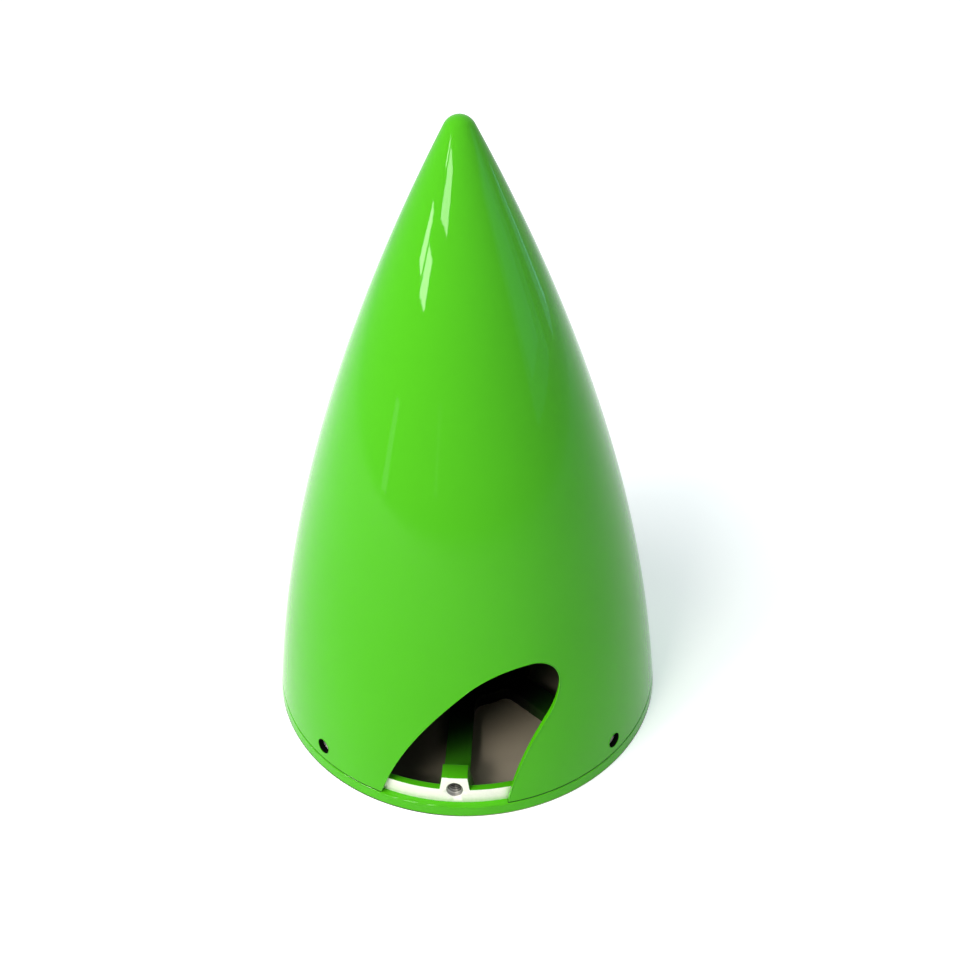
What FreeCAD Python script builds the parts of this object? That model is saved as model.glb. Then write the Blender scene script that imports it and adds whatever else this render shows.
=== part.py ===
import FreeCAD, Part
import math
import os
import Sketcher
from FreeCAD import Placement, Rotation, Vector

# Two-blade propeller spinner: a thin moulded ogive shell that sits on a spoked, machined backplate.
# Millimetres. +Z is the propeller axis towards the nose, z = 0 is the backplate's rear face,
# and the blade windows open towards -Y and +Y. Angles are degrees about Z, counted from -Y towards +X.

SIZES = [
    ("base_diameter", 114.3, "outer diameter at the rear face, four and a half inches"),
    ("base_lean", 7.7, "inward lean of the ogive at the rear face"),
    ("ogive_radius", 450, "radius of the ogive's long arc"),
    ("nose_radius", 4, "radius of the rounded tip"),
    ("shell_wall", 1.5, "thickness of the moulded shell"),
    ("flange_height", 3.2, "rear face to the ledge that the shell sits on"),
    ("register_clearance", 0.1, "gap between the shell and the register lip"),
    ("edge_break", 0.25, "small chamfer on both sides of the parting line and on the rear edge"),
    ("lip_height", 4, "register lip above the ledge"),
    ("lip_thickness", 2.3, "register lip, at the ledge"),
    ("web_thickness", 4.2, "thickness of the hub and the spokes"),
    ("hub_radius", 20, "radius of the hub disc"),
    ("spoke_width", 7, "width of each spoke"),
    ("pocket_corner", 3, "corner radius of the lightening pockets"),
    ("boss_height", 8, "screw boss above the ledge"),
    ("boss_width", 10, "width of a screw boss at the rear face"),
    ("boss_depth", 8.6, "length of a screw boss at the rear face, inwards from the middle of the ledge"),
    ("boss_draft", 8.5, "lean of a boss's sides"),
    ("screw_height", 7.7, "height of the radial screw holes"),
    ("screw_angle", 45, "angle from a blade window to the nearest shell screw"),
    ("filler_angle", -4.2, "angle of the boss that stands inside a blade window"),
    ("screw_clearance", 4.5, "clearance hole in the shell for an M4 screw"),
    ("tap_drill", 3.3, "core hole for an M4 thread"),
    ("tap_mouth", 5.2, "mouth of the countersunk thread, across its lowest point"),
    ("bore_diameter", 10, "centre bore for the crankshaft or centre bolt"),
    ("bore_chamfer", 0.5, "chamfer at both ends of the centre bore"),
    ("window_tip_across", 15.2, "centre of the window's round tip, across the blade window"),
    ("window_tip_up", 37.1, "centre of the window's round tip, above the rear face"),
    ("window_tip_radius", 7.7, "radius of the window's tip"),
    ("window_shoulder_radius", 24, "arc from the tip to the long flank"),
    ("window_flank_radius", 77, "long convex flank over the blade's back"),
    ("window_flank_foot", 24.4, "where the flank reaches the rear face's level"),
    ("window_throat_radius", 16, "arc under the tip on the other edge"),
    ("window_heel_radius", 62, "hollow arc down to the parting line"),
    ("window_heel_foot", 9.4, "where the hollow arc reaches the rear face's level"),
]

doc = FreeCAD.newDocument("propeller_spinner")
sheet = doc.addObject("Spreadsheet::Sheet", "sizes")
for row, (alias, number, meaning) in enumerate(SIZES, start=1):
    sheet.set("A%d" % row, alias)
    sheet.set("B%d" % row, str(number))
    sheet.set("C%d" % row, meaning)
    sheet.setAlias("B%d" % row, alias)
doc.recompute()

# The ogive is one long arc. Its centre lies far across the axis, below the rear face.
BASE_RADIUS = "sizes.base_diameter / 2"
OGIVE_ACROSS = "(sizes.ogive_radius * cos(sizes.base_lean) - sizes.base_diameter / 2)"
OGIVE_DOWN = "(sizes.ogive_radius * sin(sizes.base_lean))"
REGISTER_DEPTH = "(sizes.shell_wall + sizes.register_clearance)"


def number(expression):
    """Value of an expression on the sheet."""
    return float(sheet.evalExpression(expression))


def ogive_at(depth, height):
    """Expression for the ogive's radius at a height, set in by a depth from the outer skin."""
    return "(sqrt((sizes.ogive_radius - %s) ^ 2 - (%s + %s) ^ 2) - %s)" % (depth, height, OGIVE_DOWN, OGIVE_ACROSS)


REGISTER_RADIUS = ogive_at(REGISTER_DEPTH, "sizes.flange_height")
RIM_INNER_RADIUS = "(%s - sizes.lip_thickness)" % REGISTER_RADIUS


def meet(centre_a, radius_a, centre_b, radius_b):
    """The crossing of two circles that lies further along +x."""
    along = centre_b - centre_a
    reach = along.Length
    step = (radius_a ** 2 - radius_b ** 2 + reach ** 2) / (2 * reach)
    side = math.sqrt(radius_a ** 2 - step ** 2)
    along.normalize()
    across = Vector(-along.y, along.x, 0)
    foot = centre_a + along * step
    return max(foot + across * side, foot - across * side, key=lambda point: point.x)


class Drawing:
    """A sketch on one of its body's origin planes, with dimensions tied to the sheet."""

    def __init__(self, body, name, plane):
        self.sketch = body.newObject("Sketcher::SketchObject", name)
        role = [entry for entry in body.Origin.OriginFeatures if entry.Role == plane][0]
        self.sketch.AttachmentSupport = (role, [""])
        self.sketch.MapMode = "FlatFace"

    def line(self, start, end):
        return self.sketch.addGeometry(Part.LineSegment(start, end), False)

    def arc(self, centre, start, end):
        """Counterclockwise arc about a centre from one point to another."""
        first, last = [math.atan2(point.y - centre.y, point.x - centre.x) for point in (start, end)]
        circle = Part.Circle(centre, Vector(0, 0, 1), (start - centre).Length)
        return self.sketch.addGeometry(Part.ArcOfCircle(circle, first, last), False)

    def circle(self, centre, radius):
        return self.sketch.addGeometry(Part.Circle(centre, Vector(0, 0, 1), radius), False)

    def rule(self, kind, *places):
        """A geometric constraint with no size."""
        self.sketch.addConstraint(Sketcher.Constraint(kind, *places))

    def size(self, kind, places, expression):
        """A dimension tied to the sheet."""
        start = math.radians(number(expression)) if kind == "Angle" else number(expression)
        index = self.sketch.addConstraint(Sketcher.Constraint(kind, *places, start))
        self.sketch.setExpression("Constraints[%d]" % index, expression)

    def bevel(self, edge, expression, rising=True):
        """Give a slanted edge the same width and height, rising or falling outwards from the axis."""
        ends = [self.sketch.getPoint(edge, place) for place in (1, 2)]
        inner, outer = (1, 2) if ends[0].x < ends[1].x else (2, 1)
        low, high = (inner, outer) if rising else (outer, inner)
        self.size("DistanceX", (edge, inner, edge, outer), expression)
        self.size("DistanceY", (edge, low, edge, high), expression)

    def joined(self, loop):
        """Join the end of each edge to the start of the next. Each entry is (edge, start, end)."""
        for (edge, _, end), (after, start, _) in zip(loop, loop[1:] + loop[:1]):
            self.rule("Coincident", edge, end, after, start)


def feature(body, kind, name, drawing=None, **options):
    """Add a PartDesign feature to a body. Options that are text are expressions on the sheet."""
    made = body.newObject("PartDesign::" + kind, name)
    if drawing:
        made.Profile = drawing.sketch
    for option, setting in options.items():
        if isinstance(setting, str) and "sizes." in setting:
            made.setExpression(option, setting)
        else:
            setattr(made, option, setting)
    body.Tip = made
    doc.recompute()
    return made


def around_axis(body, name, features, count):
    """Repeat features evenly about the propeller axis."""
    axis = [entry for entry in body.Origin.OriginFeatures if entry.Role == "Z_Axis"][0]
    return feature(body, "PolarPattern", name, Originals=features, Axis=(axis, [""]), Angle=360, Occurrences=count)


def turned(body, name, drawing, kind="Revolution"):
    """Turn a drawing about its vertical axis."""
    return feature(body, kind, name, drawing, ReferenceAxis=(drawing.sketch, ["V_Axis"]), Angle=360)


def face_outwards(drawing, angle, distance):
    """Turn an XZ drawing so that it faces out from the axis at an angle, at a distance from the axis."""
    drawing.sketch.AttachmentOffset = Placement(Vector(), Rotation(Vector(0, 1, 0), number(angle)))
    drawing.sketch.setExpression("AttachmentOffset.Rotation.Angle", angle)
    drawing.sketch.setExpression("AttachmentOffset.Base.x", "%s * sin(%s)" % (distance, angle))
    drawing.sketch.setExpression("AttachmentOffset.Base.z", "%s * cos(%s)" % (distance, angle))


def new_body(name):
    body = doc.addObject("PartDesign::Body", name)
    body.Label = name
    body.Placement = Placement(Vector(0, 0, 0), Rotation())
    return body


def ogive_point(depth, height):
    return Vector(number(ogive_at(depth, height)), number(height), 0)


def draw_shell_section(body):
    """Half section of the shell: two concentric long arcs that run into two concentric nose arcs."""
    drawing = Drawing(body, "shell_section", "XZ_Plane")
    long_centre = Vector(-number(OGIVE_ACROSS), -number(OGIVE_DOWN), 0)
    nose = number("sizes.nose_radius")
    wall = number("sizes.shell_wall")
    reach = number("sizes.ogive_radius") - nose
    nose_centre = Vector(0, long_centre.y + math.sqrt(reach ** 2 - long_centre.x ** 2), 0)
    towards_nose = (nose_centre - long_centre).normalize()
    outer_foot = ogive_point("0", "sizes.flange_height + sizes.edge_break")
    inner_foot = ogive_point("sizes.shell_wall", "sizes.flange_height")
    seat_end = Vector(outer_foot.x - number("sizes.edge_break"), inner_foot.y, 0)
    outer_run = nose_centre + towards_nose * nose
    inner_run = nose_centre + towards_nose * (nose - wall)
    outer_tip = nose_centre + Vector(0, nose, 0)
    inner_tip = nose_centre + Vector(0, nose - wall, 0)

    seat = drawing.line(inner_foot, seat_end)
    bevel = drawing.line(seat_end, outer_foot)
    outer = drawing.arc(long_centre, outer_foot, outer_run)
    outer_nose = drawing.arc(nose_centre, outer_run, outer_tip)
    tip = drawing.line(outer_tip, inner_tip)
    inner_nose = drawing.arc(nose_centre, inner_run, inner_tip)
    inner = drawing.arc(long_centre, inner_foot, inner_run)

    drawing.rule("Coincident", seat, 2, bevel, 1)
    drawing.rule("Coincident", bevel, 2, outer, 1)
    drawing.rule("Tangent", outer, 2, outer_nose, 1)
    drawing.rule("Coincident", outer_nose, 2, tip, 1)
    drawing.rule("Coincident", tip, 2, inner_nose, 2)
    drawing.rule("Tangent", inner_nose, 1, inner, 2)
    drawing.rule("Coincident", inner, 1, seat, 1)
    drawing.rule("Horizontal", seat)
    drawing.rule("Coincident", outer, 3, inner, 3)
    drawing.rule("Coincident", outer_nose, 3, inner_nose, 3)
    for edge, place in ((outer_nose, 3), (tip, 1), (tip, 2)):
        drawing.rule("PointOnObject", edge, place, -2)
    drawing.size("DistanceX", (outer, 3, -1, 1), OGIVE_ACROSS)
    drawing.size("DistanceY", (outer, 3, -1, 1), OGIVE_DOWN)
    drawing.size("DistanceY", (-1, 1, seat, 1), "sizes.flange_height")
    drawing.bevel(bevel, "sizes.edge_break")
    drawing.size("Radius", (outer,), "sizes.ogive_radius")
    drawing.size("Radius", (inner,), "sizes.ogive_radius - sizes.shell_wall")
    drawing.size("Radius", (outer_nose,), "sizes.nose_radius")
    return drawing


def draw_window(body):
    """Blade window seen along the Y axis: a leaf of five arcs, each tangent to the next."""
    drawing = Drawing(body, "window_outline", "XZ_Plane")
    tip, shoulder, flank, throat, heel = [
        number("sizes.window_%s_radius" % part) for part in ("tip", "shoulder", "flank", "throat", "heel")]
    flank_foot = Vector(-number("sizes.window_flank_foot"), 0, 0)
    heel_foot = Vector(number("sizes.window_heel_foot"), 0, 0)
    tip_centre = Vector(number("sizes.window_tip_across"), number("sizes.window_tip_up"), 0)
    top = tip_centre + Vector(0, tip, 0)
    side = tip_centre + Vector(tip, 0, 0)
    shoulder_centre = top - Vector(0, shoulder, 0)
    throat_centre = side - Vector(throat, 0, 0)
    flank_centre = meet(shoulder_centre, flank - shoulder, flank_foot, flank)
    heel_centre = meet(throat_centre, throat + heel, heel_foot, heel)
    flank_run = flank_centre + (shoulder_centre - flank_centre).normalize() * flank
    heel_run = heel_centre + (throat_centre - heel_centre).normalize() * heel

    tip_arc = drawing.arc(tip_centre, side, top)
    shoulder_arc = drawing.arc(shoulder_centre, top, flank_run)
    flank_arc = drawing.arc(flank_centre, flank_run, flank_foot)
    base = drawing.line(flank_foot, heel_foot)
    heel_arc = drawing.arc(heel_centre, heel_run, heel_foot)
    throat_arc = drawing.arc(throat_centre, heel_run, side)

    drawing.rule("Tangent", tip_arc, 2, shoulder_arc, 1)
    drawing.rule("Tangent", shoulder_arc, 2, flank_arc, 1)
    drawing.rule("Coincident", flank_arc, 2, base, 1)
    drawing.rule("Coincident", base, 2, heel_arc, 2)
    drawing.rule("Tangent", heel_arc, 1, throat_arc, 1)
    drawing.rule("Tangent", throat_arc, 2, tip_arc, 1)
    drawing.rule("Vertical", tip_arc, 3, tip_arc, 2)
    drawing.rule("Horizontal", tip_arc, 3, tip_arc, 1)
    drawing.rule("PointOnObject", base, 1, -1)
    drawing.rule("PointOnObject", base, 2, -1)
    drawing.size("DistanceX", (-1, 1, tip_arc, 3), "sizes.window_tip_across")
    drawing.size("DistanceY", (-1, 1, tip_arc, 3), "sizes.window_tip_up")
    drawing.size("DistanceX", (base, 1, -1, 1), "sizes.window_flank_foot")
    drawing.size("DistanceX", (-1, 1, base, 2), "sizes.window_heel_foot")
    for arc, part in ((tip_arc, "tip"), (shoulder_arc, "shoulder"), (flank_arc, "flank"),
                      (throat_arc, "throat"), (heel_arc, "heel")):
        drawing.size("Radius", (arc,), "sizes.window_%s_radius" % part)
    return drawing


def draw_screw_hole(body, name, angle, distance, diameter):
    """A circle that faces out from the axis at the height of the screws."""
    drawing = Drawing(body, name, "XZ_Plane")
    hole = drawing.circle(Vector(0, number("sizes.screw_height"), 0), number(diameter) / 2)
    drawing.rule("PointOnObject", hole, 3, -2)
    drawing.size("DistanceY", (-1, 1, hole, 3), "sizes.screw_height")
    drawing.size("Diameter", (hole,), diameter)
    face_outwards(drawing, angle, distance)
    return drawing


def build_shell():
    """Moulded ogive shell with two blade windows and four screw holes."""
    body = new_body("spinner_shell")
    turned(body, "shell_skin", draw_shell_section(body))
    window = feature(body, "Pocket", "blade_window", draw_window(body), Type="Length", Reversed=True,
                     Length="sizes.base_diameter")
    around_axis(body, "blade_windows", [window], 2)
    hole = feature(body, "Pocket", "shell_screw_hole",
                   draw_screw_hole(body, "shell_screw_outline", "sizes.screw_angle", BASE_RADIUS,
                                   "sizes.screw_clearance"),
                   Type="Length", Length="sizes.boss_depth")
    around_axis(body, "shell_screw_holes", [hole], 4)
    return body


def draw_turned_section(body):
    """Half section of the turned blank: bored web, leaning rim and the lip before its register is turned."""
    drawing = Drawing(body, "blank_section", "XZ_Plane")
    rim_low_at = ogive_at("0", "sizes.edge_break")
    rim_high_at = ogive_at("0", "(sizes.flange_height - sizes.edge_break)")
    edge_break = number("sizes.edge_break")
    chamfer = number("sizes.bore_chamfer")
    bore = number("sizes.bore_diameter") / 2
    web_top = number("sizes.web_thickness")
    rim_low = Vector(number(rim_low_at), edge_break, 0)
    rim_high = Vector(number(rim_high_at), number("sizes.flange_height") - edge_break, 0)
    ledge_in = ogive_point(REGISTER_DEPTH, "sizes.flange_height")
    lip_out = Vector(ledge_in.x, number("sizes.flange_height + sizes.lip_height"), 0)
    lip_in = number(RIM_INNER_RADIUS)
    corners = [
        Vector(bore + chamfer, 0, 0), Vector(rim_low.x - edge_break, 0, 0), rim_low, rim_high,
        Vector(rim_high.x - edge_break, ledge_in.y, 0), ledge_in, lip_out, Vector(lip_in, lip_out.y, 0),
        Vector(lip_in, web_top, 0), Vector(bore + chamfer, web_top, 0), Vector(bore, web_top - chamfer, 0),
        Vector(bore, chamfer, 0)]
    edges = [drawing.line(start, end) for start, end in zip(corners, corners[1:] + corners[:1])]
    rear, rear_bevel, rim, ledge_bevel, ledge, lip, top, inside, web, web_bevel, wall, rear_mouth = edges

    drawing.joined([(edge, 1, 2) for edge in edges])
    for flat in (rear, ledge, top, web):
        drawing.rule("Horizontal", flat)
    for upright in (lip, inside, wall):
        drawing.rule("Vertical", upright)
    drawing.rule("PointOnObject", rear, 1, -1)
    drawing.size("DistanceX", (-1, 1, rim, 1), rim_low_at)
    drawing.size("DistanceX", (-1, 1, rim, 2), rim_high_at)
    drawing.size("DistanceX", (-1, 1, lip, 1), REGISTER_RADIUS)
    drawing.size("DistanceY", (-1, 1, ledge, 1), "sizes.flange_height")
    drawing.size("DistanceY", (ledge, 2, top, 1), "sizes.lip_height")
    drawing.size("DistanceX", (-1, 1, inside, 1), RIM_INNER_RADIUS)
    drawing.size("DistanceY", (-1, 1, web, 1), "sizes.web_thickness")
    drawing.size("DistanceX", (-1, 1, wall, 1), "sizes.bore_diameter / 2")
    drawing.bevel(rear_bevel, "sizes.edge_break")
    drawing.bevel(ledge_bevel, "sizes.edge_break", rising=False)
    drawing.bevel(web_bevel, "sizes.bore_chamfer")
    drawing.bevel(rear_mouth, "sizes.bore_chamfer", rising=False)
    return drawing


def draw_boss(body, name, angle):
    """Plan of a screw boss at an angle, drawn with its length along the drawing's x axis, into the rim."""
    drawing = Drawing(body, name, "XY_Plane")
    into_rim = ogive_at("sizes.shell_wall / 2", "0")
    inner = number(into_rim) - number("sizes.boss_depth")
    outer = number(into_rim)
    half = number("sizes.boss_width") / 2
    corners = [Vector(inner, -half, 0), Vector(outer, -half, 0), Vector(outer, half, 0), Vector(inner, half, 0)]
    sides = [drawing.line(start, end) for start, end in zip(corners, corners[1:] + corners[:1])]
    drawing.joined([(side, 1, 2) for side in sides])
    for flat in (sides[0], sides[2]):
        drawing.rule("Horizontal", flat)
    drawing.rule("Vertical", sides[1])
    drawing.rule("Symmetric", sides[3], 1, sides[3], 2, -1)
    drawing.size("DistanceX", (sides[0], 1, sides[0], 2), "sizes.boss_depth")
    drawing.size("DistanceX", (-1, 1, sides[0], 2), into_rim)
    drawing.size("DistanceY", (sides[0], 1, sides[3], 1), "sizes.boss_width")
    drawing.sketch.AttachmentOffset = Placement(Vector(), Rotation(Vector(0, 0, 1), number(angle) - 90))
    drawing.sketch.setExpression("AttachmentOffset.Rotation.Angle", "%s - 90" % angle)
    return drawing


def draw_register_relief(body):
    """Section of what is turned off the lip and the bosses above the ledge, so that the shell fits over them."""
    drawing = Drawing(body, "register_relief_section", "XZ_Plane")
    boss_top = "(sizes.flange_height + sizes.boss_height)"
    low_in = ogive_point(REGISTER_DEPTH, "sizes.flange_height")
    high_in = ogive_point(REGISTER_DEPTH, boss_top)
    beyond = number("sizes.base_diameter")
    corners = [low_in, Vector(beyond, low_in.y, 0), Vector(beyond, high_in.y, 0), high_in]
    low, outside, high, register = edges = [
        drawing.line(start, end) for start, end in zip(corners, corners[1:] + corners[:1])]
    drawing.joined([(edge, 1, 2) for edge in edges])
    drawing.rule("Horizontal", low)
    drawing.rule("Horizontal", high)
    drawing.rule("Vertical", outside)
    drawing.size("DistanceX", (-1, 1, register, 2), REGISTER_RADIUS)
    drawing.size("DistanceX", (-1, 1, register, 1), ogive_at(REGISTER_DEPTH, boss_top))
    drawing.size("DistanceY", (-1, 1, low, 1), "sizes.flange_height")
    drawing.size("DistanceY", (low, 1, high, 1), "sizes.boss_height")
    drawing.size("DistanceX", (-1, 1, outside, 1), "sizes.base_diameter")
    return drawing


def draw_lightening_pocket(body, name, first, second):
    """Plan of the pocket between two spokes: hub arc, rim arc, the two spokes' sides and four round corners.

    The drawing's x axis bisects the pocket, so its sides lean by half the angle between the spokes.
    """
    drawing = Drawing(body, name, "XY_Plane")
    half_turn = "((%s - %s) / 2)" % (second, first)
    lean = math.radians(number(half_turn))
    half_spoke = number("sizes.spoke_width") / 2
    corner = number("sizes.pocket_corner")
    along = Vector(math.cos(lean), math.sin(lean), 0)
    inward = Vector(math.sin(lean), -math.cos(lean), 0)

    def corner_points(radius, centre_radius):
        """Centre of a corner arc, where it leaves the spoke, and where it meets the hub's or rim's arc."""
        away = half_spoke + corner
        step = along * math.sqrt(centre_radius ** 2 - away ** 2)
        centre = step + inward * away
        return centre, step + inward * half_spoke, centre * (radius / centre_radius)

    def mirrored(point):
        return Vector(point.x, -point.y, 0)

    hub = number("sizes.hub_radius")
    rim = number(RIM_INNER_RADIUS)
    hub_corner, hub_spoke, hub_run = corner_points(hub, hub + corner)
    rim_corner, rim_spoke, rim_run = corner_points(rim, rim - corner)

    hub_arc = drawing.arc(Vector(), mirrored(hub_run), hub_run)
    upper_hub = drawing.arc(hub_corner, hub_spoke, hub_run)
    upper_side = drawing.line(hub_spoke, rim_spoke)
    upper_rim = drawing.arc(rim_corner, rim_run, rim_spoke)
    rim_arc = drawing.arc(Vector(), mirrored(rim_run), rim_run)
    lower_rim = drawing.arc(mirrored(rim_corner), mirrored(rim_spoke), mirrored(rim_run))
    lower_side = drawing.line(mirrored(rim_spoke), mirrored(hub_spoke))
    lower_hub = drawing.arc(mirrored(hub_corner), mirrored(hub_run), mirrored(hub_spoke))

    drawing.rule("Tangent", hub_arc, 2, upper_hub, 2)
    drawing.rule("Tangent", upper_hub, 1, upper_side, 1)
    drawing.rule("Tangent", upper_side, 2, upper_rim, 2)
    drawing.rule("Tangent", upper_rim, 1, rim_arc, 2)
    drawing.rule("Tangent", rim_arc, 1, lower_rim, 2)
    drawing.rule("Tangent", lower_rim, 1, lower_side, 1)
    drawing.rule("Tangent", lower_side, 2, lower_hub, 2)
    drawing.rule("Tangent", lower_hub, 1, hub_arc, 1)
    drawing.rule("Coincident", hub_arc, 3, -1, 1)
    drawing.rule("Coincident", rim_arc, 3, -1, 1)
    drawing.size("Radius", (hub_arc,), "sizes.hub_radius")
    drawing.size("Radius", (rim_arc,), RIM_INNER_RADIUS)
    for arc in (upper_hub, upper_rim, lower_rim, lower_hub):
        drawing.size("Radius", (arc,), "sizes.pocket_corner")
    drawing.size("Angle", (upper_side,), half_turn)
    drawing.size("Angle", (lower_side,), "180 - " + half_turn)
    for side in (upper_side, lower_side):
        drawing.size("Distance", (-1, 1, side), "sizes.spoke_width / 2")
    middle = "(%s + %s) / 2 - 90" % (first, second)
    drawing.sketch.AttachmentOffset = Placement(Vector(), Rotation(Vector(0, 0, 1), number(middle)))
    drawing.sketch.setExpression("AttachmentOffset.Rotation.Angle", middle)
    return drawing


def build_backplate():
    """Machined backplate: turned rim with its register, milled pockets, screw bosses and tapped holes."""
    body = new_body("backplate")
    turned(body, "turned_blank", draw_turned_section(body))
    # The spokes carry the bosses: four for the shell's screws and one in each blade window.
    shell_screws, filler = "sizes.screw_angle", "sizes.filler_angle"
    spokes = ["-" + shell_screws, filler, shell_screws, "180 - " + shell_screws]
    for index, (first, second) in enumerate(zip(spokes, spokes[1:]), start=1):
        pocket = feature(body, "Pocket", "lightening_pocket_%d" % index,
                         draw_lightening_pocket(body, "pocket_outline_%d" % index, first, second),
                         Type="Length", Reversed=True, Length="sizes.web_thickness * 2")
        around_axis(body, "lightening_pockets_%d" % index, [pocket], 2)
    for name, angle, count in (("shell_screw", shell_screws, 4), ("filler", filler, 2)):
        boss = feature(body, "Pad", name + "_boss", draw_boss(body, name + "_boss_plan", angle),
                       Length="sizes.flange_height + sizes.boss_height", TaperAngle="-sizes.boss_draft")
        around_axis(body, name + "_bosses", [boss], count)
    turned(body, "register_relief", draw_register_relief(body), "Groove")
    # The register leans, so each thread starts where the lowest point of its mouth lies.
    seat = ogive_at(REGISTER_DEPTH, "(sizes.screw_height - sizes.tap_mouth / 2)")
    for name, angle, count in (("shell_screw", shell_screws, 4), ("filler", filler, 2)):
        hole = feature(body, "Hole", name + "_thread",
                       draw_screw_hole(body, name + "_outline", angle, seat, "sizes.tap_drill"),
                       DepthType="Dimension", Depth="sizes.boss_depth", Diameter="sizes.tap_drill",
                       DrillPoint="Flat", HoleCutType="Countersink", HoleCutCountersinkAngle=90,
                       HoleCutDiameter="sizes.tap_mouth")
        around_axis(body, name + "_threads", [hole], count)
    return body


def check(bodies):
    """Stop before writing if a feature failed or a body is not one valid solid."""
    failed = [obj.Name for obj in doc.Objects if {"Invalid", "Error"} & set(obj.State)]
    if failed:
        raise RuntimeError("failed objects: " + ", ".join(failed))
    for body in bodies:
        if body.Shape.isNull() or not body.Shape.isValid() or len(body.Shape.Solids) != 1:
            raise RuntimeError(body.Label + " is not one valid solid")


parts = [build_shell(), build_backplate()]
doc.recompute()
check(parts)
os.makedirs("parts", exist_ok=True)
for part in parts:
    part.Shape.exportStep("parts/%s.step" % part.Label)
    print("%-14s %9.1f mm3  z %.2f to %.2f" % (part.Label, part.Shape.Volume, part.Shape.BoundBox.ZMin,
                                              part.Shape.BoundBox.ZMax))
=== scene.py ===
"""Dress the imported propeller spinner: lacquered shell, machined backplate, studio stage."""

import math

import bpy
from mathutils import Euler, Matrix, Vector


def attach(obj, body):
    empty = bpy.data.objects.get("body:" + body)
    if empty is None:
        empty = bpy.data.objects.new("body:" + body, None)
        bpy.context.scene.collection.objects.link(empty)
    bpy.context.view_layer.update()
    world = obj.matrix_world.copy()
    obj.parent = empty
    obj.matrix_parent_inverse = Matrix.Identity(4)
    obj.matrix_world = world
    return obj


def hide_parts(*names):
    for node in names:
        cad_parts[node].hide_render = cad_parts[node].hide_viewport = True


bl_info = {
    "name": "Propeller Spinner",
    "version": (1, 0, 0),
    "blender": (4, 5, 0),
    "location": "3D View > Sidebar > Spinner",
    "description": "Builds the looks of a two-blade propeller spinner on its packed frame",
    "category": "Object",
}

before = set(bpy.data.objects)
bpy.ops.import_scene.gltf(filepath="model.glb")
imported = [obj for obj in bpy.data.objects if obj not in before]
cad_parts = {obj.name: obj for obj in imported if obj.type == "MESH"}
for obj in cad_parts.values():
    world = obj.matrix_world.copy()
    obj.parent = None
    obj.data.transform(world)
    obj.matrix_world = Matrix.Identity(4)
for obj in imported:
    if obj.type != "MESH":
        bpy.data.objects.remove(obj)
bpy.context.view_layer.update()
MILLIMETRE = 0.001

# Points closer than SAME_PLACE are one point, and faces closer than SKIN_DEPTH to the ogive lie on it.
SAME_PLACE = 0.001 * MILLIMETRE
SKIN_DEPTH = 0.04 * MILLIMETRE
# Two directions whose dot product is above this count as the same.
ALIKE = 0.9
# An edge that folds by more than this is a sharp one.
SHARP_FOLD = math.radians(50)

# Slots of the shell's and of the plate's materials.
LACQUER, COMPOSITE = 0, 1
PAINT, BARE, THREAD = 0, 1, 2

# Tints of the lamps, and the height on the propeller axis that they face.
WARM = (1.0, 0.96, 0.86)
PLAIN = (1.0, 1.0, 1.0)
COOL = (0.3, 0.8, 1.0)
LAMP_AIM = 100 * MILLIMETRE

# Name, azimuth and elevation in degrees, distance, width and height in metres, watts, tint, and whether
# lacquer and metal mirror the lamp. The softboxes light the object, and the panes, windows and strips
# are highlights on the lacquer.
LAMPS = (
    ("key_softbox", -60, 46, 1.3, 0.9, 0.9, 10.2, PLAIN, False),
    ("fill_softbox", 55, 50, 1.5, 1.0, 1.0, 1.9, PLAIN, False),
    ("overhead_softbox", 180, 80, 1.4, 1.4, 1.4, 5.2, PLAIN, False),
    ("top_pane", -54, 38.5, 1.2, 0.07, 0.06, 0.5, WARM, True),
    ("upper_pane", -36, 37, 1.2, 0.32, 0.17, 3.8, WARM, True),
    ("side_pane", -65, 26, 1.2, 0.16, 0.15, 2, WARM, True),
    ("lower_pane", -53, 24, 1.2, 0.20, 0.13, 2.2, WARM, True),
    ("right_window", 79, 19, 1.2, 0.72, 0.66, 1.0, COOL, True),
    ("right_window_pane", 77, 20, 1.2, 0.42, 0.50, 0.5, COOL, True),
    ("right_window_frame", 112, 9, 1.2, 0.20, 0.35, 0.24, COOL, True),
    ("right_window_edge", 117, 9, 1.2, 0.06, 0.32, 0.14, COOL, True),
    ("left_strip", -60, 2, 1.2, 0.09, 0.24, 0.14, PLAIN, True),
    ("middle_strip", -21, 7, 1.2, 0.04, 0.25, 0.024, PLAIN, True),
)


def length(name, description, millimetres):
    """A size that a user may change, stored in metres."""
    return bpy.props.FloatProperty(
        name=name, description=description, default=millimetres * MILLIMETRE, min=0.0,
        subtype="DISTANCE", unit="LENGTH")


def angle(name, description, degrees):
    """An angle that a user may change, stored in radians."""
    return bpy.props.FloatProperty(
        name=name, description=description, default=math.radians(degrees),
        subtype="ANGLE", unit="ROTATION")


def colour(name, description, red, green, blue):
    """A linear colour that a user may change."""
    return bpy.props.FloatVectorProperty(
        name=name, description=description, default=(red, green, blue), min=0.0, max=1.0,
        size=3, subtype="COLOR")


def count(name, description, number):
    """A whole number that a user may change."""
    return bpy.props.IntProperty(name=name, description=description, default=number, min=1)


def amount(name, description, number):
    """A plain number from 0 up that a user may change."""
    return bpy.props.FloatProperty(name=name, description=description, default=number, min=0.0)


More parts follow.
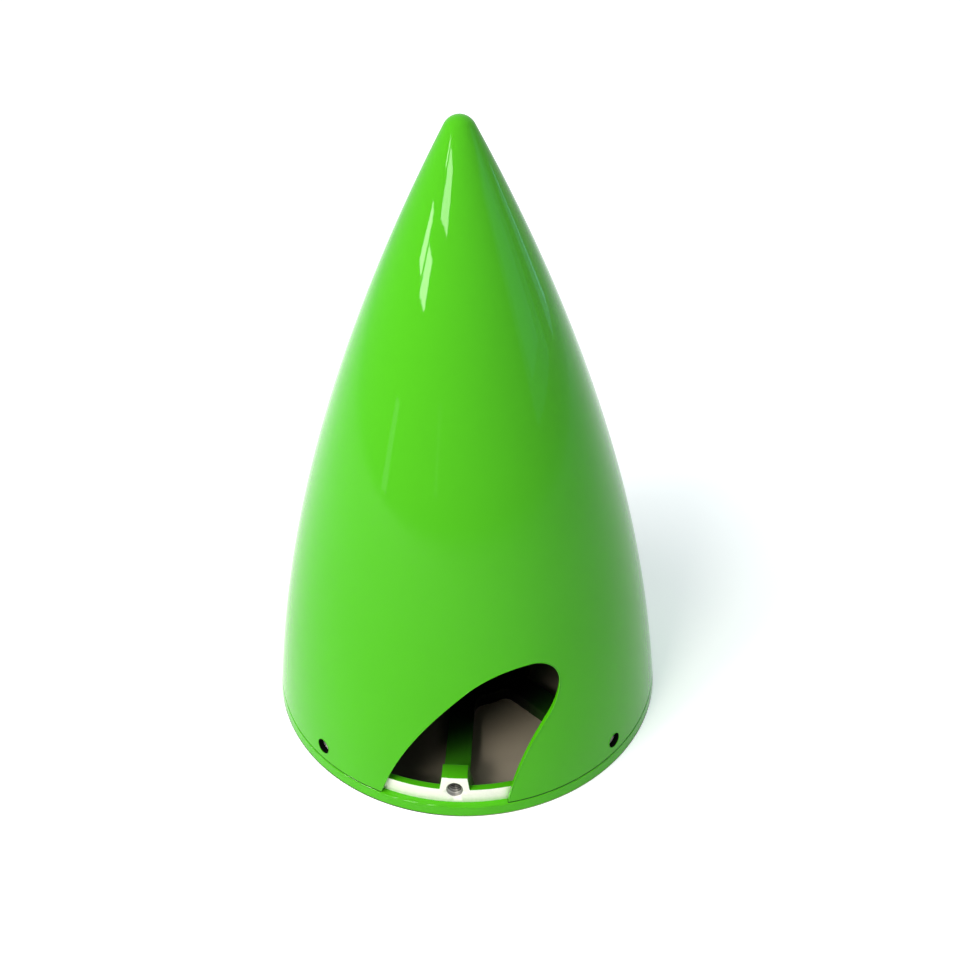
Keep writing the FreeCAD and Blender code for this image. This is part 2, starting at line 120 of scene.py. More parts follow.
class SpinnerShellSizes(bpy.types.PropertyGroup):
    """Sizes of the ogive shell."""

    base_radius: length("Base radius", "Radius of the ogive at the backplate's rear face", 57.15)
    base_lean: angle("Base lean", "Inward lean of the ogive at the rear face", 7.7)
    ogive_radius: length("Ogive radius", "Radius of the ogive's long arc", 450)
    nose_radius: length("Nose radius", "Radius of the rounded tip", 4)
    wall: length("Wall", "Thickness of the moulded shell", 1.5)
    seat: length("Seat height", "Height of the edge that sits on the backplate", 3.2)
    edge_round: length("Edge round", "Rounding of the backplate's milled edges", 0.12)
    edge_bead: length("Edge bead", "Radius of the lacquer's bead on the trimmed edges", 0.12)
    joint: length("Joint", "Height of the dark joint between the shell and the backplate", 0.4)
    joint_depth: length("Joint depth", "How far the dark joint lies under the skin", 0.1)
    screw_height: length("Screw height", "Height of the radial screw holes", 7.7)
    screw_clearance: length("Screw clearance", "Diameter of the shell's screw holes", 4.5)
    thread_mouth: length("Thread mouth", "Diameter of a countersunk thread's mouth", 5.2)
    thread_pitch: length("Thread pitch", "Pitch of the M4 threads", 0.7)
    screw_angle: angle("Screw angle", "From a blade window's middle to the nearest shell screw", 45)
    filler_angle: angle("Filler angle", "Place of the boss that stands inside a blade window", -4.2)
    turn_steps: count("Turn steps", "Steps in which the section is turned", 256)


class BladeWindowSizes(bpy.types.PropertyGroup):
    """Sizes of the leaf-shaped blade window."""

    tip_across: length("Tip across", "Centre of the round tip, across the window", 15.2)
    tip_up: length("Tip up", "Centre of the round tip, above the rear face", 37.1)
    tip_radius: length("Tip radius", "Radius of the window's tip", 7.7)
    shoulder_radius: length("Shoulder radius", "Arc from the tip to the long flank", 24)
    flank_radius: length("Flank radius", "Long convex flank", 77)
    flank_foot: length("Flank foot", "Where the flank reaches the rear face's level", 24.4)
    throat_radius: length("Throat radius", "Arc under the tip on the other edge", 16)
    heel_radius: length("Heel radius", "Hollow arc down to the parting line", 62)
    heel_foot: length("Heel foot", "Where the hollow arc reaches the rear face's level", 9.4)


class SpinnerColours(bpy.types.PropertyGroup):
    """Colours of the finishes."""

    lacquer: colour("Lacquer", "Lime green lacquer", 0.074, 0.495, 0.006)
    composite: colour("Composite", "Black composite inside the shell", 0.003, 0.003, 0.0035)
    aluminium: colour("Aluminium", "Bare machined aluminium", 0.93, 0.92, 0.84)


class SpinnerStageSizes(bpy.types.PropertyGroup):
    """Settings of the floor, the room and the camera."""

    floor_radius: length("Floor radius", "Radius of the plain floor", 4000)
    floor_drop: length("Floor drop", "Hair's breadth between the floor and the rear face", 0.05)
    glow_radius: length("Glow radius", "Distance from the axis where the floor's glow is full", 300)
    glow_near: amount("Glow near", "Floor's glow at the rim, seen directly or in a mirror", 0.47)
    glow_far: amount("Glow far", "Floor's full glow, seen directly or in a mirror", 0.9)
    glow_tint: colour("Glow tint", "Colour of the floor's glow", 0.88, 0.95, 1.0)
    paper: colour("Paper", "White paper around the spinner", 0.86, 0.85, 0.82)
    # Painted shade on the paper under the shell: deep on the left, half on the right.
    paper_painted_deep_shade: colour("Painted deep shade", "Paper under the shell on the left", 0.072, 0.062, 0.048)
    paper_painted_half_shade: colour("Painted half shade", "Paper under the shell on the right", 0.432, 0.372, 0.288)
    room_light: amount("Room light", "Strength of the dim room around the stage", 0.06)
    focal_length: amount("Focal length", "Camera's focal length in millimetres", 34.69)
    camera_away: length("Camera away", "Camera's distance in front of the propeller axis", 205.41)
    camera_up: length("Camera up", "Camera's height above the rear face", 210.85)
    camera_tilt: angle("Camera tilt", "Camera's turn up from straight down", 55.084)
    camera_roll: angle("Camera roll", "Camera's sideways lean", 0.214)
    camera_pan: angle("Camera pan", "Camera's turn about the vertical", -1.282)


# Drawing and turning.

def only(thing):
    """Make one object the selected and active one."""
    bpy.ops.object.select_all(action="DESELECT")
    bpy.context.view_layer.objects.active = thing
    thing.select_set(True)


def draw_outline(name, start, strokes):
    """Draw a wire in the XZ plane and stay in edit mode.

    A stroke is the end point of a straight line, or an arc's centre, end point and number of steps.
    """
    bpy.ops.object.select_all(action="DESELECT")
    bpy.ops.mesh.primitive_plane_add(size=MILLIMETRE)
    outline = bpy.context.object
    outline.name = name
    bpy.ops.object.mode_set(mode="EDIT")
    bpy.ops.mesh.merge(type="CENTER")
    bpy.ops.transform.translate(value=(start[0], 0, start[1]))
    here = start
    for stroke in strokes:
        if len(stroke) == 2:
            end = stroke
            bpy.ops.mesh.extrude_region_move(
                TRANSFORM_OT_translate={"value": (end[0] - here[0], 0, end[1] - here[1])})
        else:
            centre, end, steps = stroke
            first = math.atan2(here[1] - centre[1], here[0] - centre[0])
            last = math.atan2(end[1] - centre[1], end[0] - centre[0])
            turn = (last - first + math.pi) % math.tau - math.pi
            bpy.ops.mesh.spin(
                steps=steps, angle=turn, center=(centre[0], 0, centre[1]), axis=(0, 1, 0))
        here = end
    return outline


def turn_outline(steps):
    """Turn the wire in edit mode about the propeller axis into a closed skin, and leave edit mode."""
    bpy.ops.mesh.select_all(action="SELECT")
    bpy.ops.mesh.spin(steps=steps, angle=math.tau, center=(0, 0, 0), axis=(0, 0, 1))
    bpy.ops.mesh.select_all(action="SELECT")
    bpy.ops.mesh.remove_doubles(threshold=SAME_PLACE)
    bpy.ops.mesh.normals_make_consistent(inside=False)
    bpy.ops.object.mode_set(mode="OBJECT")


def repeat_round(number):
    """Repeat the whole mesh in edit mode evenly about the propeller axis."""
    copies = number - 1
    bpy.ops.mesh.select_all(action="SELECT")
    bpy.ops.mesh.spin(
        steps=copies, angle=math.tau * copies / number, center=(0, 0, 0), axis=(0, 0, 1), dupli=True)


def cut(piece, cutter):
    """Take a cutter away from a piece and remove the cutter."""
    only(piece)
    boolean = piece.modifiers.new("cut", "BOOLEAN")
    boolean.operation = "DIFFERENCE"
    boolean.solver = "EXACT"
    boolean.object = cutter
    bpy.ops.object.modifier_apply(modifier=boolean.name)
    bpy.data.objects.remove(cutter, do_unlink=True)


def select_sharp_edges(piece, above):
    """In edit mode, select the sharp edges that lie above a height."""
    bpy.ops.mesh.select_mode(type="EDGE")
    bpy.ops.mesh.select_all(action="DESELECT")
    bpy.ops.mesh.edges_select_sharp(sharpness=SHARP_FOLD)
    bpy.ops.object.mode_set(mode="OBJECT")
    points = piece.data.vertices
    for edge in piece.data.edges:
        if min(points[end].co.z for end in edge.vertices) < above:
            edge.select = False
    bpy.ops.object.mode_set(mode="EDIT")


def soften(piece, width, above):
    """Round the sharp edges above a height a little, once short edges are merged out of the way."""
    only(piece)
    bpy.ops.object.mode_set(mode="EDIT")
    select_sharp_edges(piece, above)
    bpy.ops.mesh.remove_doubles(threshold=width / 3)
    select_sharp_edges(piece, above)
    bpy.ops.mesh.bevel(offset=width, segments=2, clamp_overlap=False, loop_slide=False)
    bpy.ops.mesh.select_mode(type="VERT")
    bpy.ops.object.mode_set(mode="OBJECT")


def bead_skin_edge(piece, ogive, radius, above):
    """Lay a thin round bead along the skin's sharp edges above a height.

    Lacquer builds up like this on a trimmed edge.
    """
    only(piece)
    bpy.ops.object.mode_set(mode="EDIT")
    select_sharp_edges(piece, above)
    bpy.ops.object.mode_set(mode="OBJECT")
    points = piece.data.vertices
    for edge in piece.data.edges:
        if max(abs(ogive.depth(points[end].co)) for end in edge.vertices) > SKIN_DEPTH:
            edge.select = False
    bpy.ops.object.mode_set(mode="EDIT")
    bpy.ops.mesh.duplicate()
    bpy.ops.mesh.separate(type="SELECTED")
    bpy.ops.mesh.select_mode(type="VERT")
    bpy.ops.object.mode_set(mode="OBJECT")
    bead = next(thing for thing in bpy.context.selected_objects if thing is not piece)
    only(bead)
    bpy.ops.object.convert(target="CURVE")
    bead.data.bevel_depth = radius
    bead.data.bevel_resolution = 2
    bead.data.use_fill_caps = True
    bpy.ops.object.convert(target="MESH")
    bpy.ops.object.shade_smooth()
    return bead


def join(piece, other):
    """Join another mesh to a piece."""
    only(piece)
    other.select_set(True)
    bpy.ops.object.join()


def screw_axes(sizes):
    """Outward directions of the six screws: four in the shell and one in each blade window."""
    quarter = math.radians(90)
    turns = [sizes.screw_angle + quarter * step for step in range(4)]
    turns += [sizes.filler_angle, sizes.filler_angle + 2 * quarter]
    return [Vector((math.sin(turn), -math.cos(turn), 0)) for turn in turns]


def in_screw_hole(face, sizes, axes, across):
    """Whether a face is the wall of a radial screw hole of that diameter."""
    nearest = 0.75 * sizes.base_radius
    slack = MILLIMETRE / 4
    place = face.center - Vector((0, 0, sizes.screw_height))
    for axis in axes:
        if place.dot(axis) > nearest and place.cross(axis).length < across / 2 + slack:
            return abs(face.normal.dot(axis)) < ALIKE
    return False


class Ogive:
    """The shell's two concentric arcs and its nose, in the section's plane."""

    def __init__(self, sizes):
        self.sizes = sizes
        reach = sizes.ogive_radius
        self.centre = (
            sizes.base_radius - reach * math.cos(sizes.base_lean), -reach * math.sin(sizes.base_lean))
        nose_up = self.centre[1] + math.sqrt((reach - sizes.nose_radius) ** 2 - self.centre[0] ** 2)
        self.nose_centre = (0.0, nose_up)

    def at(self, depth, height):
        """The point at a height, set in by a depth from the outer skin."""
        reach = self.sizes.ogive_radius - depth
        across = math.sqrt(reach ** 2 - (height - self.centre[1]) ** 2)
        return (self.centre[0] + across, height)

    def run(self, depth):
        """Where the long arc runs into the nose arc, set in by a depth."""
        towards = Vector(self.nose_centre) - Vector(self.centre)
        towards.normalize()
        return tuple(Vector(self.nose_centre) + towards * (self.sizes.nose_radius - depth))

    def tip(self, depth):
        """The nose's point on the propeller axis, set in by a depth."""
        return (0.0, self.nose_centre[1] + self.sizes.nose_radius - depth)

    def normal(self, place):
        """Outward direction of the skin at a place."""
        across = math.hypot(place.x, place.y)
        centre = self.nose_centre if place.z > self.run(0.0)[1] else self.centre
        outward = (across - centre[0]) / across if across > 0.0 else 0.0
        return Vector((place.x * outward, place.y * outward, place.z - centre[1])).normalized()

    def depth(self, place):
        """How far a place lies under the outer skin."""
        across = math.hypot(place.x, place.y)
        if place.z > self.run(0.0)[1]:
            return self.sizes.nose_radius - math.hypot(across, place.z - self.nose_centre[1])
        return self.sizes.ogive_radius - math.hypot(across - self.centre[0], place.z - self.centre[1])


def shade_as_skin(piece, ogive):
    """Give the faces on the outer skin the ogive's own normals, so that they mirror without waves."""
    mesh = piece.data
    normals = [Vector(corner.vector) for corner in mesh.corner_normals]
    for face in mesh.polygons:
        on_skin = abs(ogive.depth(face.center)) < SKIN_DEPTH
        if on_skin and face.normal.dot(ogive.normal(face.center)) > ALIKE:
            for corner in face.loop_indices:
                point = mesh.vertices[mesh.loops[corner].vertex_index]
                normals[corner] = ogive.normal(point.co)
    mesh.normals_split_custom_set(normals)


def meet(centre_a, radius_a, centre_b, radius_b):
    """The crossing of two circles that lies further along +x."""
    centre_a, centre_b = Vector(centre_a), Vector(centre_b)
    along = centre_b - centre_a
    step = (radius_a ** 2 - radius_b ** 2 + along.length_squared) / (2 * along.length)
    side = math.sqrt(radius_a ** 2 - step ** 2)
    along.normalize()
    across = Vector((-along.y, along.x)) * side
    foot = centre_a + along * step
    return max(foot + across, foot - across, key=lambda point: point.x)


def window_cutter(sizes, reach):
    """Solid of the blade window's outline, run out from the axis to both sides."""
    flank_foot = Vector((-sizes.flank_foot, 0))
    heel_foot = Vector((sizes.heel_foot, 0))
    tip_centre = Vector((sizes.tip_across, sizes.tip_up))
    top = tip_centre + Vector((0, sizes.tip_radius))
    side = tip_centre + Vector((sizes.tip_radius, 0))
    shoulder = top - Vector((0, sizes.shoulder_radius))
    throat = side - Vector((sizes.throat_radius, 0))
    flank = meet(
        shoulder, sizes.flank_radius - sizes.shoulder_radius, flank_foot, sizes.flank_radius)
    heel = meet(throat, sizes.throat_radius + sizes.heel_radius, heel_foot, sizes.heel_radius)
    flank_run = flank + (shoulder - flank).normalized() * sizes.flank_radius
    heel_run = heel + (throat - heel).normalized() * sizes.heel_radius
    cutter = draw_outline("window_cutter", tuple(heel_foot), [
        (heel, heel_run, 24),
        (throat, side, 20),
        (tip_centre, top, 24),
        (shoulder, flank_run, 24),
        (flank, flank_foot, 36),
    ])
    bpy.ops.mesh.select_all(action="SELECT")
    bpy.ops.mesh.edge_face_add()
    bpy.ops.mesh.extrude_region_move(TRANSFORM_OT_translate={"value": (0, -reach, 0)})
    repeat_round(2)
    bpy.ops.mesh.select_all(action="SELECT")
    bpy.ops.mesh.normals_make_consistent(inside=False)
    bpy.ops.object.mode_set(mode="OBJECT")
    return cutter


def screw_hole_cutter(sizes):
    """Four radial rods that cut the shell's screw holes."""
    out = Vector((math.sin(sizes.screw_angle), -math.cos(sizes.screw_angle), 0))
    bpy.ops.object.select_all(action="DESELECT")
    bpy.ops.mesh.primitive_cylinder_add(
        vertices=48, radius=sizes.screw_clearance / 2, depth=sizes.base_radius / 3,
        location=out * sizes.base_radius + Vector((0, 0, sizes.screw_height)),
        rotation=(math.radians(90), 0, sizes.screw_angle))
    cutter = bpy.context.object
    bpy.ops.object.transform_apply(location=True, rotation=True, scale=True)
    bpy.ops.object.mode_set(mode="EDIT")
    repeat_round(4)
    bpy.ops.object.mode_set(mode="OBJECT")
    return cutter


# Materials.

# Grain of the noise patterns, in features per metre.
TONE_GRAIN = 18.0
SHADE_EDGE_GRAIN = 120.0
WEAVE_GRAIN = 500.0
PEEL_GRAIN = 900.0
TOOL_GRAIN = 1500.0

# Distances from the propeller axis: the plate's lacquer carries painted shade, near black up to the
# first and gone from the second, with a ragged edge, and fading in between by the power.
DEEPEST_SHADE_REACH = 24 * MILLIMETRE
SHADE_END_REACH = 55.5 * MILLIMETRE
SHADE_EDGE_RAGGED = 1 * MILLIMETRE
SHADE_FADE_POWER = 1.8

# Distances from the propeller axis: a thread carries painted shade up to the first and none from the
# second.
THREAD_DARK = 49.5 * MILLIMETRE
THREAD_LIT = 53.5 * MILLIMETRE

# Places from left to right: the painted shade on the paper under the shell is darkest up to the first
# and lightest from the second.
PAINTED_SHADE_DEEPEST_AT = -18 * MILLIMETRE
PAINTED_SHADE_LIGHTEST_AT = 12 * MILLIMETRE


class Finish:
    """A node material with one Principled shader, built node by node."""

    def __init__(self, name):
        self.material = bpy.data.materials.new(name)
        self.material.use_nodes = True
        self.tree = self.material.node_tree
        self.shader = self.tree.nodes["Principled BSDF"]
        self.place = self.tree.nodes.new("ShaderNodeTexCoord")

    def node(self, kind, inputs=None, **settings):
        """Add a node. Inputs are values or sockets."""
        made = self.tree.nodes.new("ShaderNode" + kind)
        for setting, value in settings.items():
            setattr(made, setting, value)
        for name, value in (inputs or {}).items():
            self.feed(made.inputs[name], value)
        return made

    def feed(self, socket, value):
        """Link an input or set it."""
        if isinstance(value, bpy.types.NodeSocket):
            self.tree.links.new(value, socket)
        else:
            socket.default_value = value

    def shade(self, **inputs):
        """Set or link the shader's own inputs. Underscores stand for spaces."""
        for name, value in inputs.items():
            self.feed(self.shader.inputs[name.replace("_", " ")], value)

    def calculate(self, operation, first, second=0.0):
        """The result of a calculation on one or two values."""
        return self.node("Math", {0: first, 1: second}, operation=operation).outputs["Value"]

    def noise(self, grain, detail=2.0):
        """A cloudy pattern from 0 to 1, with a grain in features per metre."""
        place = self.place.outputs["Object"]
        made = self.node("TexNoise", {"Vector": place, "Scale": grain, "Detail": detail})
        return made.outputs["Fac"]

    def reach(self):
        """Distance from the propeller axis."""
        flat = self.node(
            "VectorMath", {0: self.place.outputs["Object"], 1: (1.0, 1.0, 0.0)}, operation="MULTIPLY")
        return self.node(
            "VectorMath", {0: flat.outputs["Vector"]}, operation="LENGTH").outputs["Value"]

    def between(self, factor, low, high):
        """Two colours, each a tint or a socket, mixed by a factor."""
        made = self.node("Mix", data_type="RGBA")
        self.feed(made.inputs[0], factor)
        for socket, tint in ((made.inputs[6], low), (made.inputs[7], high)):
            self.feed(socket, tint if isinstance(tint, bpy.types.NodeSocket) else (*tint, 1.0))
        return made.outputs[2]

    def ranged(self, value, low, high):
        """Map 0 to 1 on to a range."""
        made = self.node("MapRange", {"Value": value, "To Min": low, "To Max": high})
        return made.outputs["Result"]

    def rise(self, value, low, high, **settings):
        """How far a value has come from low to high, from 0 to 1."""
        made = self.node("MapRange", {"Value": value, "From Min": low, "From Max": high}, **settings)
        return made.outputs["Result"]

    def bump(self, height, strength, distance):
        """Bumps of a height pattern, with the full height in metres."""
        made = self.node("Bump", {"Height": height, "Strength": strength, "Distance": distance})
        return made.outputs["Normal"]

    def lacquered(self, tint):
        """A flat colour under a clear, glossy coat with faint orange peel."""
        peel = self.noise(PEEL_GRAIN, 1.0)
        self.shade(
            Base_Color=tint, Roughness=0.5, Specular_IOR_Level=0.0, Coat_Weight=1.0,
            Coat_Roughness=0.03, Coat_IOR=1.25,
            Coat_Normal=self.bump(peel, 0.02, 0.2 * MILLIMETRE))


def scaled(tint, factor):
    """A tint made lighter or darker by a factor."""
    return tuple(min(1.0, part * factor) for part in tint)


def lacquer_finish(colours):
    """Lime lacquer with slow changes of tone."""
    finish = Finish("lime_lacquer")
    low = scaled(colours.lacquer, 0.94)
    high = scaled(colours.lacquer, 1.06)
    finish.lacquered(finish.between(finish.noise(TONE_GRAIN), low, high))
    return finish.material


def plate_finish(colours):
    """The same lacquer, with painted shade that darkens it to near black towards the hub."""
    finish = Finish("plate_lacquer_with_painted_shade")
    ragged = finish.ranged(finish.noise(SHADE_EDGE_GRAIN), -SHADE_EDGE_RAGGED, SHADE_EDGE_RAGGED)
    reach = finish.calculate("ADD", finish.reach(), ragged)
    out_of_shade = finish.calculate("POWER", finish.rise(reach, DEEPEST_SHADE_REACH, SHADE_END_REACH), SHADE_FADE_POWER)
    # Painted shade: a near black tint towards the hub, where the shell keeps the light out.
    painted_shade_tint = scaled(colours.composite, 2.5)
    finish.lacquered(finish.between(out_of_shade, painted_shade_tint, colours.lacquer))
    return finish.material


def composite_finish(colours):
    """Black composite with a faint weave."""
    finish = Finish("black_composite")
    weave = finish.noise(WEAVE_GRAIN)
    low = scaled(colours.composite, 0.7)
    high = scaled(colours.composite, 1.6)
    finish.shade(
        Base_Color=finish.between(weave, low, high), Roughness=0.6, Specular_IOR_Level=0.05,
        Normal=finish.bump(weave, 0.3, 0.2 * MILLIMETRE))
    return finish.material


def aluminium_finish(colours):
    """Bare machined aluminium with fine tool marks."""
    finish = Finish("bare_aluminium")
    marks = finish.noise(TOOL_GRAIN)
    low = scaled(colours.aluminium, 0.9)
    high = scaled(colours.aluminium, 1.05)
    finish.shade(
        Base_Color=finish.between(marks, low, high), Metallic=0.45,
        Roughness=finish.ranged(marks, 0.36, 0.50),
        Normal=finish.bump(marks, 0.15, 0.1 * MILLIMETRE))
    return finish.material


def thread_finish(colours, pitch):
    """Cut thread: rings of painted highlight on the crests and painted shade in the roots, with painted
    shade deeper in the hole.
    """
    finish = Finish("cut_thread")
    reach = finish.reach()
    turns = finish.calculate("SINE", finish.calculate("MULTIPLY", reach, math.tau / pitch))
    # Painted highlight on the crests, and painted shade in the roots and deeper in the hole.
    painted_crest_light = finish.calculate(
        "MULTIPLY", finish.ranged(turns, 0.5, 1.0), finish.rise(reach, THREAD_DARK, THREAD_LIT))
    low = scaled(colours.aluminium, 0.02)
    high = scaled(colours.aluminium, 0.4)
    finish.shade(
        Base_Color=finish.between(painted_crest_light, low, high), Metallic=1.0, Roughness=0.35,
        Normal=finish.bump(painted_crest_light, 0.6, 0.3 * MILLIMETRE))
    return finish.material


def background_rays(tree):
    """Rays that see the white background.

    They are the camera's, and those that lacquer, metal and glass send on.
    """
    path = tree.nodes.new("ShaderNodeLightPath")
    seen = path.outputs["Is Camera Ray"]
    for kind in ("Is Glossy Ray", "Is Transmission Ray"):
        either = tree.nodes.new("ShaderNodeMath")
        either.operation = "MAXIMUM"
        tree.links.new(seen, either.inputs[0])
        tree.links.new(path.outputs[kind], either.inputs[1])
        seen = either.outputs["Value"]
    return seen


def floor_finish(stage, footprint):
    """White paper that glows to near white around the spinner, and under it has painted shade and no
    glow.
    """
    finish = Finish("white_paper")
    place = finish.place.outputs["Object"]
    rightward = finish.node("SeparateXYZ", {"Vector": place}).outputs["X"]
    away = finish.node("VectorMath", {0: place}, operation="LENGTH").outputs["Value"]
    around = finish.calculate("GREATER_THAN", away, footprint)
    glow = finish.node("MapRange", {
        "Value": away, "From Min": footprint, "From Max": stage.glow_radius,
        "To Min": stage.glow_near, "To Max": stage.glow_far,
    }, interpolation_type="SMOOTHSTEP").outputs["Result"]
    glow = finish.calculate("MULTIPLY", around, glow)
    # Painted shade under the shell, darkest on the left and lighter to the right.
    shade_lightness = finish.rise(rightward, PAINTED_SHADE_DEEPEST_AT, PAINTED_SHADE_LIGHTEST_AT, interpolation_type="SMOOTHSTEP")
    under = finish.between(shade_lightness, stage.paper_painted_deep_shade, stage.paper_painted_half_shade)
    finish.shade(
        Base_Color=finish.between(around, under, stage.paper), Roughness=0.8, Specular_IOR_Level=0.2,
        Emission_Color=(*stage.glow_tint, 1.0),
        Emission_Strength=finish.calculate("MULTIPLY", glow, background_rays(finish.tree)))
    return finish.material


def finish_named(name, maker, *settings):
    """The finish of that name, made once."""
    return bpy.data.materials.get(name) or maker(*settings)


def hang_lamp(name, azimuth, elevation, distance, width, height, power, tint, mirrored):
    """Hang a flat lamp that faces the spinner.

    Azimuth 0 is on the camera's side, and a positive one is to the right.
    """
    across = math.radians(azimuth)
    up = math.radians(elevation)
    away = Vector((
        math.sin(across) * math.cos(up), -math.cos(across) * math.cos(up), math.sin(up)))
    light = bpy.data.lights.new(name, "AREA")
    light.shape = "RECTANGLE"
    light.size = width
    light.size_y = height
    light.energy = power
    light.color = tint
    lamp = bpy.data.objects.new(name, light)
    lamp.location = Vector((0, 0, LAMP_AIM)) + away * distance
    lamp.rotation_euler = away.to_track_quat("Z", "Y").to_euler()
    lamp.visible_glossy = mirrored
    bpy.context.scene.collection.objects.link(lamp)


# Operators.

class SPINNER_OT_shell(bpy.types.Operator):
    """Turn the ogive shell, cut its windows and screw holes, and lacquer it"""

    bl_idname = "spinner.shell"
    bl_label = "Spinner shell"
    bl_options = {"REGISTER", "UNDO"}

    def execute(self, context):
        sizes = context.scene.spinner_shell
        colours = context.scene.spinner_colours
        ogive = Ogive(sizes)
        edge = sizes.seat + sizes.joint
        foot = ogive.at(0.0, edge + sizes.joint_depth)
        inset = foot[0] - sizes.joint_depth
        shell = draw_outline("shell", ogive.tip(0.0), [
            (ogive.nose_centre, ogive.run(0.0), 10),
            (ogive.centre, foot, 64),
            (inset, edge),
            (inset, sizes.seat),
            ogive.at(sizes.wall, sizes.seat),
            (ogive.centre, ogive.run(sizes.wall), 48),
            (ogive.nose_centre, ogive.tip(sizes.wall), 8),
        ])
        turn_outline(sizes.turn_steps)
        cut(shell, window_cutter(context.scene.spinner_window, 2 * sizes.base_radius))
        cut(shell, screw_hole_cutter(sizes))

        lacquer = finish_named("lime_lacquer", lacquer_finish, colours)
        shell.data.materials.append(lacquer)
        shell.data.materials.append(finish_named("black_composite", composite_finish, colours))
        # The lacquer runs a little way into the screw holes, and the inner skin has none.
        paint_end = 0.2 * sizes.wall
        inner_skin = 0.98 * sizes.wall
        axes = screw_axes(sizes)
        for face in shell.data.polygons:
            depth = ogive.depth(face.center)
            bored = depth > paint_end and in_screw_hole(face, sizes, axes, sizes.screw_clearance)
            plain = bored or depth > inner_skin or face.center.z < edge
            face.material_index = COMPOSITE if plain else LACQUER

        only(shell)
        bpy.ops.object.shade_smooth_by_angle(angle=math.radians(30))
        bead = bead_skin_edge(shell, ogive, sizes.edge_bead, edge + 2 * sizes.joint_depth)
        bead.data.materials.append(lacquer)
        shade_as_skin(shell, ogive)
        join(shell, bead)
        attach(shell, "root")
        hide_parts("spinner_shell")
        return {"FINISHED"}


class SPINNER_OT_backplate(bpy.types.Operator):
    """Give the backplate softened edges, lacquer with painted shade towards the hub, and bare seats"""

    bl_idname = "spinner.backplate"
    bl_label = "Backplate"
    bl_options = {"REGISTER", "UNDO"}

    def execute(self, context):
        sizes = context.scene.spinner_shell
        colours = context.scene.spinner_colours
        ogive = Ogive(sizes)
        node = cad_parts["backplate"]
        plate = node.copy()
        plate.data = node.data.copy()
        plate.name = "plate"
        plate.parent = None
        plate.matrix_world = Matrix.Identity(4)
        context.collection.objects.link(plate)
        only(plate)
        bpy.ops.object.mode_set(mode="EDIT")
        bpy.ops.mesh.select_all(action="SELECT")
        bpy.ops.mesh.remove_doubles(threshold=SAME_PLACE)
        bpy.ops.mesh.dissolve_limited(angle_limit=math.radians(0.05))
        bpy.ops.object.mode_set(mode="OBJECT")
        plate.data.materials.clear()
        soften(plate, sizes.edge_round, sizes.seat + 2 * sizes.edge_round)

        for finish in (
                finish_named("plate_lacquer_with_painted_shade", plate_finish, colours),
                finish_named("bare_aluminium", aluminium_finish, colours),
                finish_named("cut_thread", thread_finish, colours, sizes.thread_pitch)):
            plate.data.materials.append(finish)
        # The seat under the shell's edge and the outward faces that carry the shell are bare.
        slack = 0.25 * MILLIMETRE
        axes = screw_axes(sizes)
        for face in plate.data.polygons:
            centre = face.center
            radius = math.hypot(centre.x, centre.y)
            register = ogive.at(sizes.wall, centre.z)[0] - 2 * slack
            touching = radius > register and centre.z > sizes.seat - slack / 4
            outward = face.normal.x * centre.x + face.normal.y * centre.y > radius / 2
            seat = face.normal.z > ALIKE and centre.z < sizes.seat + slack
            if in_screw_hole(face, sizes, axes, sizes.thread_mouth):
                face.material_index = THREAD
            elif touching and (outward or seat):
                face.material_index = BARE
            else:
                face.material_index = PAINT
        bpy.ops.object.shade_smooth_by_angle(angle=math.radians(25))
        shade_as_skin(plate, ogive)
        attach(plate, "root")
        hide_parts("backplate")
        return {"FINISHED"}


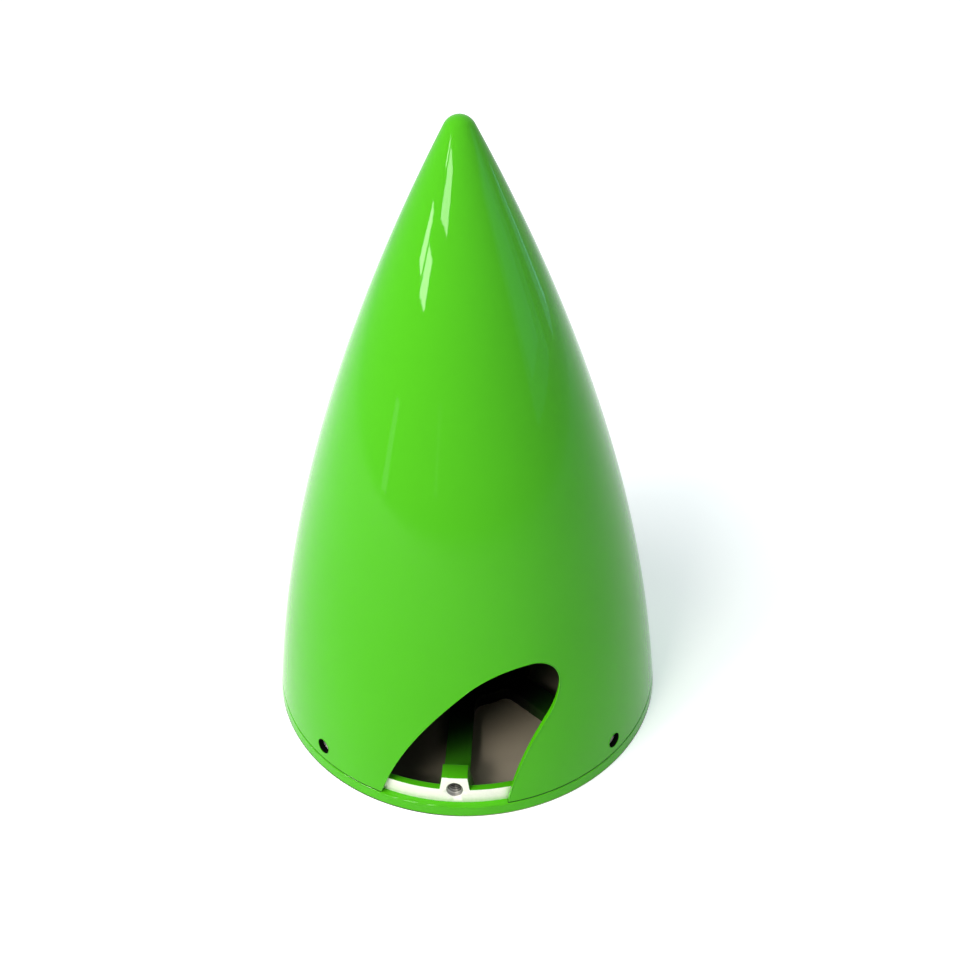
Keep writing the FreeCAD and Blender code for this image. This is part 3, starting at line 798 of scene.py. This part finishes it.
class SPINNER_OT_stage(bpy.types.Operator):
    """Lay the floor, hang the lamps and place the camera"""

    bl_idname = "spinner.stage"
    bl_label = "Stage"
    bl_options = {"REGISTER", "UNDO"}

    def execute(self, context):
        scene = context.scene
        stage = scene.spinner_stage
        scene.view_settings.view_transform = "Standard"

        bpy.ops.object.select_all(action="DESELECT")
        bpy.ops.mesh.primitive_circle_add(
            vertices=96, radius=stage.floor_radius, fill_type="NGON",
            location=(0, 0, -stage.floor_drop))
        floor = context.object
        floor.name = "floor"
        floor.data.materials.append(floor_finish(stage, scene.spinner_shell.base_radius))

        world = bpy.data.worlds.new("studio")
        world.use_nodes = True
        scene.world = world
        nodes, links = world.node_tree.nodes, world.node_tree.links
        backdrop = nodes["Background"]
        backdrop.inputs["Color"].default_value = (1.0, 1.0, 1.0, 1.0)
        strength = nodes.new("ShaderNodeMapRange")
        strength.inputs["To Min"].default_value = stage.room_light
        strength.inputs["To Max"].default_value = 1.0
        links.new(background_rays(world.node_tree), strength.inputs["Value"])
        links.new(strength.outputs["Result"], backdrop.inputs["Strength"])

        for settings in LAMPS:
            hang_lamp(*settings)

        camera = bpy.data.cameras.new("camera")
        camera.lens = stage.focal_length
        camera.sensor_width = 36.0
        camera.clip_start = 0.01
        eye = bpy.data.objects.new("camera", camera)
        scene.collection.objects.link(eye)
        place = Vector((0, -stage.camera_away, stage.camera_up))
        turn = Euler((stage.camera_tilt, stage.camera_roll, stage.camera_pan))
        eye.matrix_world = Matrix.LocRotScale(place, turn, None)
        scene.camera = eye
        return {"FINISHED"}


class SPINNER_PT_panel(bpy.types.Panel):
    """The spinner's pieces, stage, sizes and colours"""

    bl_idname = "SPINNER_PT_panel"
    bl_label = "Propeller spinner"
    bl_space_type = "VIEW_3D"
    bl_region_type = "UI"
    bl_category = "Spinner"

    def draw(self, context):
        for operator in OPERATORS:
            self.layout.operator(operator.bl_idname)
        for name, group in GROUPS.items():
            settings = getattr(context.scene, name)
            box = self.layout.box()
            for prop in group.__annotations__:
                box.prop(settings, prop)


GROUPS = {
    "spinner_shell": SpinnerShellSizes,
    "spinner_window": BladeWindowSizes,
    "spinner_colours": SpinnerColours,
    "spinner_stage": SpinnerStageSizes,
}
OPERATORS = (SPINNER_OT_shell, SPINNER_OT_backplate, SPINNER_OT_stage)


def register():
    """Register the groups, the operators and the panel, and give the scene its settings."""
    for group in GROUPS.values():
        bpy.utils.register_class(group)
    for operator in OPERATORS:
        bpy.utils.register_class(operator)
    bpy.utils.register_class(SPINNER_PT_panel)
    for name, group in GROUPS.items():
        setattr(bpy.types.Scene, name, bpy.props.PointerProperty(type=group))


def unregister():
    """Take back what register did, in reverse order."""
    for name in GROUPS:
        delattr(bpy.types.Scene, name)
    bpy.utils.unregister_class(SPINNER_PT_panel)
    for operator in reversed(OPERATORS):
        bpy.utils.unregister_class(operator)
    for group in reversed(list(GROUPS.values())):
        bpy.utils.unregister_class(group)


def main():
    """Build every piece and the stage in order."""
    register()
    bpy.ops.spinner.shell()
    bpy.ops.spinner.backplate()
    bpy.ops.spinner.stage()


if __name__ == "__main__":
    main()
